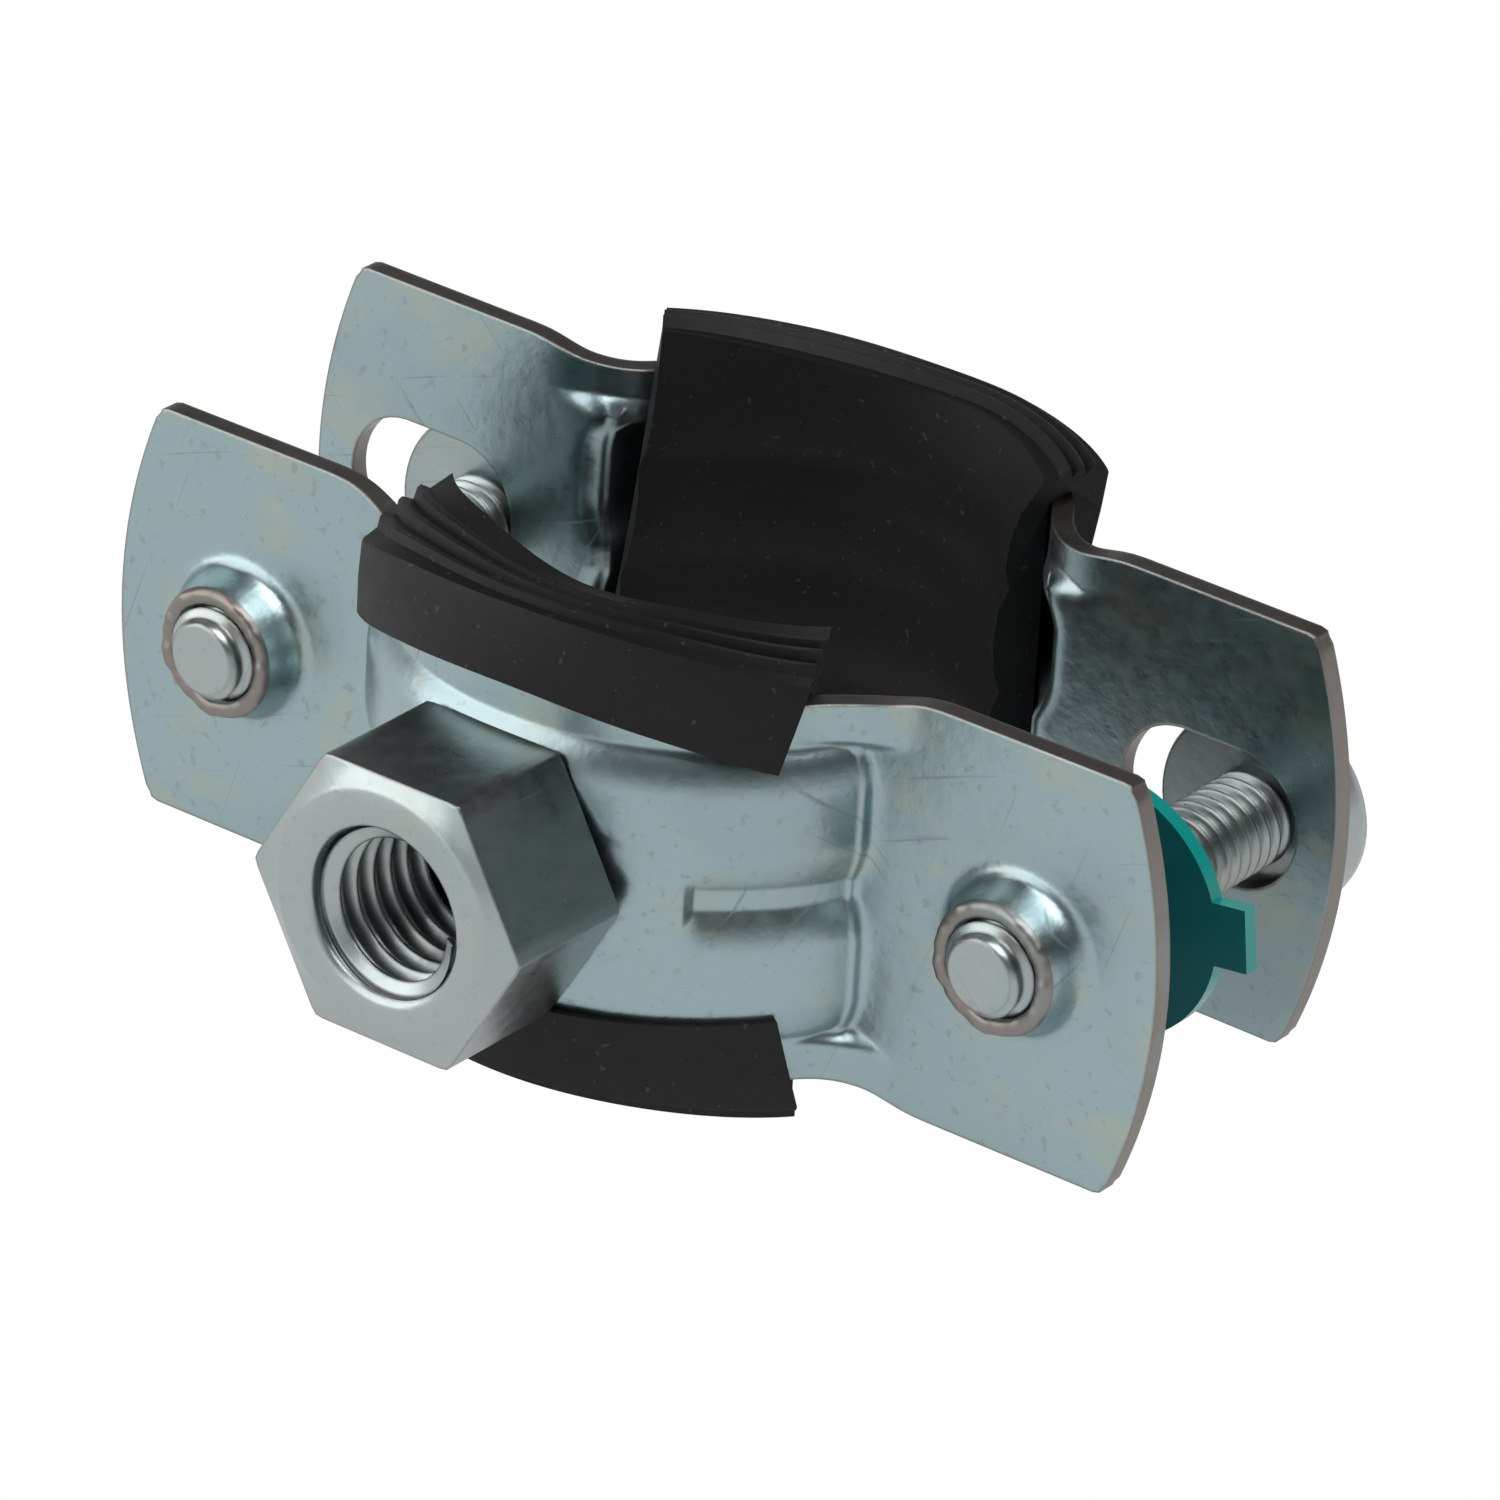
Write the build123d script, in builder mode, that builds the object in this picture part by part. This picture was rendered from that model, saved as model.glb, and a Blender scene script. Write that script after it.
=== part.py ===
from build123d import *
from math import cos, degrees, radians, sin, sqrt, tan
import os

# Rubber lined pipe clamp: two pressed half bands, each with a rubber lining,
# drawn together by two screws, with a connection nut welded to the front half.
# Frame: +Z runs along the pipe, X from ear to ear, Y from the front half to
# the rear one. The origin is on the pipe's axis where the front half seats it.

# ---- driving dimensions, in millimetres and degrees ----
pipe_radius = 14.0             # pipe that the linings seat
lining_wall = 2.6              # rubber between pipe and band
seat_gap = 0.1                 # rubber to metal

sheet = 1.3                    # band thickness
band_height = 26.0
ear_reach = 6.8                # screw axis to the corners of its ear
waist_half_height = 12.0       # the ring is narrower than the ears
waist_end = 20.5               # widening from here
ear_full = 27.5                # to here, both along X
ear_bow = 2.6                  # how far the bowed end of an ear stands out past its corners
ear_corner_radius = 0.8
ear_offset = 6.7               # pipe axis to the outer face of the ears
ear_bend_radius = 7.0          # outside bend from ring to ear, at the margins
ear_opening = 20.2             # gap between the ears as supplied

lobe_height = 1.1              # how far the pressed cushion stands out of the band
cushion_half_height = 9.4      # where the cushion starts to rise
shoulder_outer = 6.8           # crest of a lobe, from its outer shoulder
shoulder_inner = 3.1           # to its inner one
groove_half_width = 0.6        # flat floor of the groove between the lobes
groove_floor = 0.2             # how far that floor stands out of the band
corner_half_height = 8.9       # stretch of the bend that is pressed sharp
corner_radius = 0.6            # outside bend there
cushion_end = 67.5             # degrees round the ring from its middle
groove_start = 37.5            # the front groove stops short of the nut

screw_spacing = 57.0
thread_diameter = 6.0
thread_clearance = 0.04        # radial, screw in its tapped collar
screw_length = 26.6            # under the head to the tip
screw_point = 0.7              # chamfer at the tip
head_diameter = 12.4
head_height = 3.6
head_crown = 1.4               # rounding of the head's top edge
cross_width = 1.3              # arms of the cross recess in the head
cross_span = 6.0
cross_depth = 1.9

collar_height = 2.8            # drawn collar, past the outer face of the ear
collar_lip_radius = 3.95
collar_foot_radius = 5.6
collar_entry = 1.0             # rounded entry on the inner face

slot_length = 12.4             # oblong holes in the rear ears
slot_height = 8.5
rear_shift = -2.7              # rear half slid sideways in its slots
rear_rise = 0.6                # and up in them
rear_tilt = 0.6                # degrees that its left end stands higher

nut_flats = 16.0               # M10 connection nut
nut_height = 8.4
nut_thread_radius = 4.188      # minor radius of M10 x 1.5
nut_mouth_radius = 5.3
nut_bevel_radius = 7.7         # flat front face of the nut, inside its bevel
nut_bevel_slope = 11.0         # degrees
nut_relief = 0.7               # its thread ends this far short of the band, in a countersink
weld_collar_radius = 6.8       # seat of the nut, coped to the band

washer_radius = 8.0            # plastic washer that keeps a screw in its ear
washer_thickness = 1.0
washer_gap = 6.6               # front ear to washer
washer_bore_clearance = 0.06
tab_length = 2.0
tab_width = 3.9
tab_turn = 7.0                 # degrees from the long axis

lining_inner_angle = 62.0      # half angle of the lining at the pipe
lining_outer_angle = 50.0      # half angle at its outer lip
lining_slide = 6.0             # degrees that the rear lining has crept round its band
lining_flange = 1.3            # outer lip thickness
lip_edge = 8.4                 # height at which an outer lip ends
lining_top = 14.2              # top of the outer lip
pad_edge = 15.5                # top of the pad at the pipe side
pad_edge_flare = 1.6           # how far the ends of that edge flare off the pipe
pad_lean = 3.2                 # how far the middle of that edge leans in over the pipe
pad_groove = 0.5               # width of the three grooves along the pad
pad_groove_height = 7.0        # the outer two, above and below mid height
lip_slope = 0.4                # fall of the lining's top toward its lip
lip_round = 0.9
lip_taper = 0.45               # an outer lip thins toward its edge
front_top_lifts = (0.5, 2.3, 3.3)    # rise at mid length of pad edge, top and lip
rear_top_lifts = (-1.1, -0.1, 0.3)
low_lifts = (-0.8, 0.0, 0.4)
section_count = 9              # sections lofted along a lining

# ---- derived sizes ----
band_inner = pipe_radius + lining_wall + seat_gap
band_outer = band_inner + sheet
lobe_outer = band_outer + lobe_height
half_height = band_height / 2
screw_x = screw_spacing / 2
ear_corner_x = screw_x + ear_reach
screw_radius = thread_diameter / 2 - thread_clearance
bore_radius = thread_diameter / 2
front_face = -ear_offset                       # outer face of the front ears
front_back = front_face + sheet                # their inner face
rear_face = front_back + ear_opening           # inner face of the rear ears
rear_back = rear_face + sheet                  # their outer face
rear_axis = rear_back - ear_offset             # y of the rear half's own ring axis
nut_seat = -lobe_outer                         # where the nut meets the crest of the cushion
nut_face = nut_seat - nut_height
nut_countersink = nut_mouth_radius - nut_thread_radius    # 45 degrees, at both ends of the thread
bevel_drop = (nut_flats - nut_bevel_radius) * tan(radians(nut_bevel_slope))
lip_inner = band_outer + seat_gap
lip_outer = lip_inner + lining_flange
lining_back = band_inner - seat_gap


def ring_point(radius, angle):
    """A point in plan, its angle counted from the middle of the front half."""
    return (radius * sin(radians(angle)), -radius * cos(radians(angle)))


def band_strip(height, bend):
    """The bent strip of one half: ring, outside bends of the given radius and flat ears."""
    bend_x = sqrt((band_outer + bend) ** 2 - (ear_offset + bend) ** 2)
    toward_bend = Vector(bend_x, front_face - bend).normalized()
    ear_tip_x = ear_corner_x + ear_bow
    with BuildPart() as strip:
        with BuildSketch():
            with BuildLine():
                outer_ring = RadiusArc((0, -band_outer), toward_bend * band_outer, -band_outer)
                outer_bend = RadiusArc(outer_ring @ 1, (bend_x, front_face), bend)
                tip = Polyline(
                    outer_bend @ 1,
                    (ear_tip_x, front_face),
                    (ear_tip_x, front_back),
                    (bend_x, front_back),
                )
                inner_bend = RadiusArc(tip @ 1, toward_bend * band_inner, -bend - sheet)
                inner_ring = RadiusArc(inner_bend @ 1, (0, -band_inner), band_inner)
                Line(inner_ring @ 1, outer_ring @ 0)
            make_face()
            mirror(about=Plane.YZ)
        extrude(amount=height / 2, both=True)
    return strip.part


def half_outline():
    """Front view of a half: waisted ring, wider ears with bowed ends and small corner radii."""
    corner = Vector(ear_corner_x, half_height)
    with BuildSketch(Plane.XZ) as outline:
        with BuildLine():
            waist = Line((0, waist_half_height), (waist_end, waist_half_height))
            flare = Spline(waist @ 1, (ear_full, half_height), tangents=((1, 0), (1, 0)))
            Line(flare @ 1, corner)
            mirror(about=Plane.XZ)
            ThreePointArc(corner, (ear_corner_x + ear_bow, 0), (ear_corner_x, -half_height))
            Line((0, -waist_half_height), waist @ 0)
        make_face()
        fillet(outline.vertices().filter_by(lambda v: v.X > ear_full + ear_bow), ear_corner_radius)
        mirror(about=Plane.YZ)
    return outline.sketch


def cushion_sector(base, start, end, floor_rise):
    """Two lobes with a valley between, standing on a ring of radius base one sheet thick."""
    crest = base + lobe_height
    back = base - sheet
    upper = [
        (base + floor_rise, groove_half_width),
        (crest, shoulder_inner),
        (crest, shoulder_outer),
        (base, cushion_half_height),
    ]
    lower = [(radius, -height) for radius, height in reversed(upper)]
    with BuildPart() as sector:
        with BuildSketch(Plane.XZ.rotated((0, 0, start - 90))):
            with BuildLine():
                Polyline(
                    (back, -cushion_half_height),
                    *lower,
                    *upper,
                    (back, cushion_half_height),
                    close=True,
                )
            make_face()
        revolve(axis=Axis.Z, revolution_arc=end - start)
    return sector.part


def pressed_band(groove_from):
    """One half band, open side toward +Y, with its cushion grooved beyond the given angle."""
    inner_end = cushion_end - degrees(sheet / lobe_outer)
    with BuildPart() as band:
        add(band_strip(band_height, ear_bend_radius))
        with BuildSketch(Plane.XZ):
            Rectangle(2 * (ear_corner_x + ear_bow), 2 * corner_half_height)
        extrude(amount=lobe_outer + sheet, mode=Mode.SUBTRACT)
        add(band_strip(2 * corner_half_height, corner_radius))
        for base, end, mode in (
            (band_outer, cushion_end, Mode.ADD),
            (band_inner, inner_end, Mode.SUBTRACT),
        ):
            if groove_from > 0:
                add(cushion_sector(base, -groove_from, groove_from, lobe_height), mode=mode)
            add(cushion_sector(base, groove_from, end, groove_floor), mode=mode)
            add(cushion_sector(base, -end, -groove_from, groove_floor), mode=mode)
        extrude(half_outline(), amount=lobe_outer + sheet, mode=Mode.INTERSECT)
    return band.part


def collar(sign):
    """Drawn and tapped collar on a front ear, as a turned boss."""
    lip_y = front_face - collar_height
    with BuildPart() as boss:
        with BuildSketch():
            with BuildLine():
                foot = Line((0, front_back), (collar_foot_radius, front_back))
                rim = Line(foot @ 1, (collar_foot_radius, front_face))
                flare = Spline(
                    rim @ 1,
                    (collar_lip_radius, lip_y + collar_height / 2),
                    (collar_lip_radius, lip_y),
                    tangents=((-1, 0), (0, -1)),
                )
                Polyline(flare @ 1, (0, lip_y), foot @ 0)
            make_face()
        revolve(axis=Axis.Y)
    return boss.part.moved(Location((sign * screw_x, 0, 0)))


def tapped_bore(sign):
    """The hole through a collar, rounded at the back where the sheet was drawn in."""
    lip_y = front_face - collar_height
    with BuildPart() as bore:
        with BuildSketch():
            with BuildLine():
                mouth = Polyline(
                    (0, lip_y - sheet),
                    (bore_radius, lip_y - sheet),
                    (bore_radius, front_back - collar_entry),
                )
                entry = RadiusArc(mouth @ 1, (bore_radius + collar_entry, front_back), -collar_entry)
                Polyline(entry @ 1, (0, front_back), mouth @ 0)
            make_face()
        revolve(axis=Axis.Y)
    return bore.part.moved(Location((sign * screw_x, 0, 0)))


def placed_rear(solid):
    """A half made in the front half's place, turned round and set where the rear one is."""
    turned = solid.rotate(Axis.Z, 180).rotate(Axis.Y, rear_tilt)
    return turned.moved(Location((rear_shift, rear_axis, rear_rise)))


def section_plane(share):
    """Upright plane across a lining, a share (-1 to 1) of the way along it.

    Its inner edge lies further round the ring than its outer one, because a
    straight strip with square ends was bent to the band.
    """
    inner = Vector(*ring_point(pipe_radius, lining_inner_angle * share))
    outer = Vector(*ring_point(lip_outer, lining_outer_angle * share))
    across = (outer - inner).normalized()
    return Plane(origin=inner, x_dir=across, z_dir=across.cross(Vector(0, 0, 1)))


def along(plane, radius):
    """How far along a section plane the ring of the given radius lies."""
    start = plane.origin
    run = start.dot(plane.x_dir)
    return -run + sqrt(run ** 2 - start.dot(start) + radius ** 2)


def half_section(bow, lifts):
    """Radius and height of each corner of a lining's section, from mid height to the lip."""
    edge_lift, top_lift, lip_lift = [bow * lift for lift in lifts]
    edge_radius = pipe_radius + pad_edge_flare - pad_lean * bow
    notch = pad_groove / 2
    side_groove = pad_groove_height
    lip_bottom = lip_edge + lip_lift
    return [
        (pipe_radius + notch, 0),
        (pipe_radius, notch),
        (pipe_radius, side_groove - notch),
        (pipe_radius + notch, side_groove),
        (pipe_radius, side_groove + notch),
        (edge_radius, pad_edge + edge_lift),
        (lip_outer - lip_slope * (1 + bow), lining_top + top_lift),
        (lip_outer, lining_top + top_lift - lip_round),
        (lip_outer, lip_bottom),
        (lip_inner + lip_taper, lip_bottom),
        (lip_inner, waist_half_height + seat_gap),
        (lining_back, waist_half_height + seat_gap),
    ]


def lining(upper_lifts, lower_lifts):
    """Rubber channel bent round the inside of a band, its lips over both edges."""
    with BuildPart() as rubber:
        for step in range(section_count):
            share = 2 * step / (section_count - 1) - 1
            bow = 1 - share ** 2
            plane = section_plane(share)
            upper = half_section(bow, upper_lifts)
            lower = [(radius, -height) for radius, height in half_section(bow, lower_lifts)[1:]]
            outline = [(along(plane, radius), height) for radius, height in upper + lower[::-1]]
            with BuildSketch(plane):
                with BuildLine():
                    Polyline(*outline, close=True)
                make_face()
        loft()
    return rubber.part


def retaining_screw(sign):
    """Pan head screw, its head outside the rear ear and its tip toward -Y."""
    tip_y = rear_back - screw_length
    head_radius = head_diameter / 2
    crown_y = rear_back + head_height
    with BuildPart() as screw:
        with BuildSketch():
            with BuildLine():
                shank = Polyline(
                    (0, tip_y),
                    (screw_radius - screw_point, tip_y),
                    (screw_radius, tip_y + screw_point),
                    (screw_radius, rear_back),
                    (head_radius, rear_back),
                    (head_radius, crown_y - head_crown),
                )
                crown = TangentArc(shank @ 1, (head_radius - head_crown, crown_y), tangent=(0, 1))
                Polyline(crown @ 1, (0, crown_y), shank @ 0)
            make_face()
        revolve(axis=Axis.Y)
        with BuildSketch(Plane.XZ.offset(-crown_y)):
            Rectangle(cross_span, cross_width)
            Rectangle(cross_width, cross_span)
        extrude(amount=cross_depth, mode=Mode.SUBTRACT)
    return screw.part.moved(Location((sign * screw_x, 0, 0)))


def retaining_washer(sign):
    """Thin plastic disc with one grip tab, run on to a screw's thread."""
    near_y = front_back + washer_gap
    with BuildPart() as washer:
        with BuildSketch(Plane.XZ.offset(-near_y)):
            Circle(washer_radius)
            with Locations(Rotation(0, 0, tab_turn) * Location((washer_radius, 0))):
                Rectangle(2 * tab_length, tab_width)
            Circle(screw_radius + washer_bore_clearance, mode=Mode.SUBTRACT)
        extrude(amount=-washer_thickness)
    return washer.part.moved(Location((sign * screw_x, 0, 0)))


# ---- front half: band with its tapped collars ----
with BuildPart() as front_band:
    add(pressed_band(groove_start))
    for side in (-1, 1):
        add(collar(side))
        add(tapped_bore(side), mode=Mode.SUBTRACT)

# ---- connection nut, welded to the crest of the cushion ----
with BuildPart() as connection_nut:
    with BuildSketch(Plane.XZ.offset(-nut_seat)):
        RegularPolygon(nut_flats / 2, 6, major_radius=False)
    extrude(amount=nut_height)
    with BuildSketch():
        with BuildLine():
            Polyline(
                (0, nut_face),
                (nut_bevel_radius, nut_face),
                (nut_flats, nut_face + bevel_drop),
                (nut_flats, nut_seat),
                (0, nut_seat),
                close=True,
            )
        make_face()
    revolve(axis=Axis.Y, mode=Mode.INTERSECT)
    with BuildSketch(Plane.XZ.offset(-nut_seat)):
        Circle(weld_collar_radius)
    extrude(amount=-lobe_height - sheet)
    Cylinder(lobe_outer, band_height, mode=Mode.SUBTRACT)
    with BuildSketch():
        with BuildLine():
            Polyline(
                (0, nut_face),
                (nut_mouth_radius, nut_face),
                (nut_thread_radius, nut_face + nut_countersink),
                (nut_thread_radius, nut_seat - nut_relief),
                (nut_thread_radius + nut_relief + lobe_height, nut_seat + lobe_height),
                (0, nut_seat + lobe_height),
                close=True,
            )
        make_face()
    revolve(axis=Axis.Y, mode=Mode.SUBTRACT)

# ---- rear half: band with oblong holes ----
with BuildPart() as rear_pressing:
    add(pressed_band(0))
    with BuildSketch(Plane.XZ.offset(-front_back)):
        with GridLocations(screw_spacing, 1, 2, 1):
            SlotOverall(slot_length, slot_height)
    extrude(amount=2 * sheet, mode=Mode.SUBTRACT)

# ---- every piece in its place, one file each ----
pieces = {
    "front_band": front_band.part,
    "connection_nut": connection_nut.part,
    "front_lining": lining(front_top_lifts, low_lifts),
    "rear_band": placed_rear(rear_pressing.part),
    "rear_lining": placed_rear(lining(rear_top_lifts, low_lifts).rotate(Axis.Z, lining_slide)),
}
for name, side in (("left", -1), ("right", 1)):
    pieces[name + "_screw"] = retaining_screw(side)
    pieces[name + "_retaining_washer"] = retaining_washer(side)

os.makedirs("parts", exist_ok=True)
for name, piece in pieces.items():
    piece.label = name
    export_step(piece, "parts/" + name + ".step")
    print(name, round(piece.volume, 1), "mm3", piece.bounding_box())
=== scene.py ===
# %% [markdown]
# # A rubber lined pipe clamp
# Two half bands of zinc plated sheet hold a pipe between rubber linings. Screws
# through their ears draw them together, and a nut welded to the front half takes
# a threaded rod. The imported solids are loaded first, because every piece made
# here is fitted to them. Blender counts in metres, so a length in millimetres is
# multiplied by MM.

# %% Load the solids
import bpy
import bmesh
from math import atan2, cos, pi, radians, sin, sqrt
from mathutils import Matrix, Vector


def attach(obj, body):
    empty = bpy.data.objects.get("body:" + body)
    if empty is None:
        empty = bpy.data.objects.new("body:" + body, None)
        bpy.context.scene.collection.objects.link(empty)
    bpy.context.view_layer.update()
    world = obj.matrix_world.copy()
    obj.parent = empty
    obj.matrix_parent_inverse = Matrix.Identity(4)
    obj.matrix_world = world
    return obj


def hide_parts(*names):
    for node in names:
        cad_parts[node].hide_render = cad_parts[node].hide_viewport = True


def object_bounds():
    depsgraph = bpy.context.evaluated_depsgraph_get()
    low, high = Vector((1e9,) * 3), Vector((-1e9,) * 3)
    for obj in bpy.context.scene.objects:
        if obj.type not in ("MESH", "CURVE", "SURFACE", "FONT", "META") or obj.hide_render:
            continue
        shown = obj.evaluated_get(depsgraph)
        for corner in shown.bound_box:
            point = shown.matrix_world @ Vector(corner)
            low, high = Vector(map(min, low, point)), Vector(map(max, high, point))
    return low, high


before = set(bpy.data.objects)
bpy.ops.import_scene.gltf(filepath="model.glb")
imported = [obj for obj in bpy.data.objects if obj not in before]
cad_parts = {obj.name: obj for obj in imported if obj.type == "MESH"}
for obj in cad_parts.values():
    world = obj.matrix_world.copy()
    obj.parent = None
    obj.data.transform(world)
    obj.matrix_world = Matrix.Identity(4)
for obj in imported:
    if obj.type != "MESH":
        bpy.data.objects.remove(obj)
cad_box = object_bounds()
MM = 0.001
scene = bpy.context.scene
print("solids:", sorted(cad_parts))

# %% [markdown]
# ## The camera
# The camera stands well back and has a long lens, so that the ears stay parallel.
# Pointing it at a target would keep it level. Its own axes are written out instead,
# because a slight roll is part of the view, and they become the columns of its
# matrix.

# %% Camera
camera = bpy.data.objects.new("camera", bpy.data.cameras.new("camera"))
scene.collection.objects.link(camera)
right = Vector((0.79124, 0.60924, 0.05250))
up = Vector((-0.31505, 0.33258, 0.88890))
forward = Vector((-0.52409, 0.71987, -0.45509))
turn = Matrix((right, up, -forward)).transposed()
stand = Vector((301.06, -407.79, 259.51)) * MM
camera.matrix_world = Matrix.LocRotScale(stand, turn, None)
camera.data.lens = 235.17
camera.data.sensor_width = 36
camera.data.clip_start = 0.05
scene.camera = camera
print("camera looks along", tuple(round(part, 3) for part in forward))

# %% [markdown]
# ## Shader maths as sums
# A shader is a graph of nodes, and long sums are hard to read as links. The class
# below wraps one socket. Its operators add the Math node that does the sum, so a
# mask is written the way it is thought: 1 - mask, or grain * 0.3. Any other node
# comes from Material.node, which takes its settings first and then its inputs.

# %% A socket that can be added and multiplied
class Sock:
    def __init__(self, material, socket):
        self.material = material
        self.socket = socket

    def math(self, operation, *values):
        return self.material.node("ShaderNodeMath", {"operation": operation}, *values)[0]

    def __add__(self, other):
        return self.math("ADD", self, other)

    def __mul__(self, other):
        return self.math("MULTIPLY", self, other)

    def __sub__(self, other):
        return self.math("SUBTRACT", self, other)

    def __rsub__(self, other):
        return self.math("SUBTRACT", other, self)

    def __abs__(self):
        return self.math("ABSOLUTE", self)

    __radd__ = __add__
    __rmul__ = __mul__

    def between(self, low, high):
        """0 at low, 1 at high, smooth in between; high may be the smaller."""
        return self.material.node(
            "ShaderNodeMapRange",
            {"interpolation_type": "SMOOTHSTEP"},
            Value=self, **{"From Min": low, "From Max": high},
        )[0]


class Material:
    """A node material with a Principled shader, and the helpers that fill it."""

    def __init__(self, name):
        self.data = bpy.data.materials.new(name)
        self.data.use_nodes = True
        self.tree = self.data.node_tree
        self.shader = self.tree.nodes["Principled BSDF"]
        self.place = self.node("ShaderNodeTexCoord", {}, out="Object")

    def node(self, kind, settings=None, *inputs, out=None, **named):
        made = self.tree.nodes.new(kind)
        for key, value in (settings or {}).items():
            setattr(made, key, value)
        for key, value in [*enumerate(inputs), *named.items()]:
            self.feed(made.inputs[key], value)
        if out is not None:
            return Sock(self, made.outputs[out])
        return [Sock(self, socket) for socket in made.outputs]

    def feed(self, target, value):
        if isinstance(value, Sock):
            self.tree.links.new(value.socket, target)
        else:
            target.default_value = value

    def noise(self, scale, detail, where=None):
        return self.node(
            "ShaderNodeTexNoise", {}, out="Fac",
            Vector=where or self.place, Scale=scale, Detail=detail,
        )

    def stretch(self, x, y, z, turn=(0, 0, 0), where=None):
        return self.node(
            "ShaderNodeMapping", {}, out=0,
            Vector=where or self.place, Rotation=turn, Scale=(x, y, z),
        )

    def mix(self, share, low, high):
        made = self.tree.nodes.new("ShaderNodeMix")
        made.data_type = "RGBA"
        for index, value in ((0, share), (6, low), (7, high)):
            self.feed(made.inputs[index], value)
        return Sock(self, made.outputs[2])

    def bump(self, height, depth, **normal):
        return self.node(
            "ShaderNodeBump", {}, out=0, Height=height, Distance=depth, Strength=1.0, **normal,
        )

    def finish(self, **values):
        """Principled inputs by name, with _ for a space."""
        for key, value in values.items():
            self.feed(self.shader.inputs[key.replace("_", " ")], value)
        return self.data


# %% [markdown]
# ## Zinc plate
# Bright zinc is a thin film on rolled steel. It is pale blue-grey with faint
# yellow and teal stains from the passivating bath, grainy up close, and marked
# with hairline scratches from the tumbling drum. Handled edges are rubbed brown,
# and the material finds them by itself: a Bevel node gives the normal of a rounded
# edge, and where that differs from the face's own normal there is an edge. The
# cut rim of the sheet is duller and brown-grey, so it has a version of its own.

# %% The zinc plate material
yellow_stain = (0.42, 0.43, 0.33, 1)
teal_stain = (0.27, 0.35, 0.37, 1)
pit_grey = (0.20, 0.22, 0.22, 1)
scratch_grey = (0.16, 0.17, 0.17, 1)
rubbed_brown = (0.25, 0.22, 0.19, 1)
edge_rounding = 0.3 * MM
fine_grit, coarse_grit = 0.010, 0.026
scratch_turns = (0.35, 1.25, 2.35)
scratch_stretch = (60, 60, 2600)


def scratch_lines(plate):
    """Hairlines in three directions: noise squeezed until it is all threads."""
    lines = 0
    for angle in scratch_turns:
        turned = plate.stretch(1, 1, 1, (0.1, angle, 0.2))
        strip = plate.noise(1.0, 2, plate.stretch(*scratch_stretch, where=turned))
        lines = strip.between(0.68, 0.74) + lines
    return lines


def zinc(name, tint, roughness, scratches=1.0, stains=1.0, grit=1.0):
    plate = Material(name)
    cloud = plate.noise(90, 3)
    stain = plate.noise(170, 2, plate.stretch(1, 1, 1.6))
    grain = plate.noise(2200, 3)
    pores = plate.noise(900, 3)
    speck = plate.noise(1300, 5).between(0.60, 0.70)
    worn = scratch_lines(plate) * scratches * cloud.between(0.40, 0.60)
    colour = plate.mix(stain.between(0.50, 0.75) * 0.5 * stains, tint, yellow_stain)
    colour = plate.mix(cloud.between(0.50, 0.75) * 0.5, colour, teal_stain)
    colour = plate.mix(speck * 0.35 * scratches, colour, pit_grey)
    colour = plate.mix(worn * 0.35, colour, scratch_grey)
    rounded = plate.node("ShaderNodeBevel", {"samples": 6}, out=0, Radius=edge_rounding)
    facing = plate.node("ShaderNodeNewGeometry", {}, out="Normal")
    agreement = plate.node(
        "ShaderNodeVectorMath", {"operation": "DOT_PRODUCT"}, rounded, facing, out="Value",
    )
    rubbed = agreement.between(0.995, 0.93) * cloud.between(0.25, 0.55)
    colour = plate.mix(rubbed * 0.7, colour, rubbed_brown)
    fine = plate.bump(grain, fine_grit * grit * MM, Normal=rounded)
    return plate.finish(
        Base_Color=colour,
        Metallic=1.0,
        Roughness=roughness + (pores - 0.5) * 0.16 + worn * 0.15,
        Normal=plate.bump(pores, coarse_grit * grit * MM, Normal=fine),
    )


sheet_zinc = zinc("zinc_plated_sheet", (0.315, 0.41, 0.425, 1), 0.30)
edge_zinc = zinc("cut_edge_of_sheet", (0.23, 0.21, 0.19, 1), 0.38, scratches=0.3, stains=0.0)
bright_zinc = zinc("zinc_plated_hardware", (0.37, 0.41, 0.41, 1), 0.30, scratches=0.6, grit=0.6)
print("zinc materials:", sheet_zinc.name, edge_zinc.name, bright_zinc.name)

# %% [markdown]
# ## Black rubber
# Moulded rubber is matt black. It shows only as a soft sheen, with dust specks
# that catch on its ribs. One noise roughens the skin, and only the peaks of a
# finer one are let through as dust.

# %% The rubber material
rubber = Material("black_rubber")
rubber_black = (0.005, 0.005, 0.0052, 1)
dust_brown = (0.06, 0.05, 0.04, 1)
skin = rubber.noise(700, 4)
dust = rubber.noise(1900, 1).between(0.70, 0.76)
rubber_data = rubber.finish(
    Base_Color=rubber.mix(dust * 0.5, rubber_black, dust_brown),
    Roughness=0.50 + skin * 0.16,
    Specular_IOR_Level=0.27,
    Normal=rubber.bump(skin, 0.02 * MM),
)
print("rubber material:", rubber_data.name)

# %% [markdown]
# ## Teal plastic
# The washers are stamped from thin translucent sheet. Light enters the face and
# leaves through the rim, so the rim is much brighter than the face. That glow is
# painted light: the rim's colour is a brighter teal. The faces look along Y, so
# the Y part of the normal is enough to tell the two apart.

# %% The washer material
teal = Material("teal_plastic")
facing = teal.node("ShaderNodeSeparateXYZ", {}, teal.node("ShaderNodeNewGeometry", {}, out="Normal"))
# Painted glow: where the normal turns away from Y, the rim gets a brighter teal colour.
rim = abs(facing[1]).between(0.85, 0.4)
face_teal = (0.002, 0.10, 0.110, 1)
rim_teal_painted_glow = (0.0, 0.27, 0.24, 1)
teal_data = teal.finish(Base_Color=teal.mix(rim, face_teal, rim_teal_painted_glow), Roughness=0.25)
print("washer material:", teal_data.name)

# %% [markdown]
# ## Finishes on the solids
# Every solid gets its finish first, so the clamp can be judged as a whole before
# any finer piece exists. The washers are plain stampings and stay as they are.
# Each of the other solids is replaced below by a piece with more shape.

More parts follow.
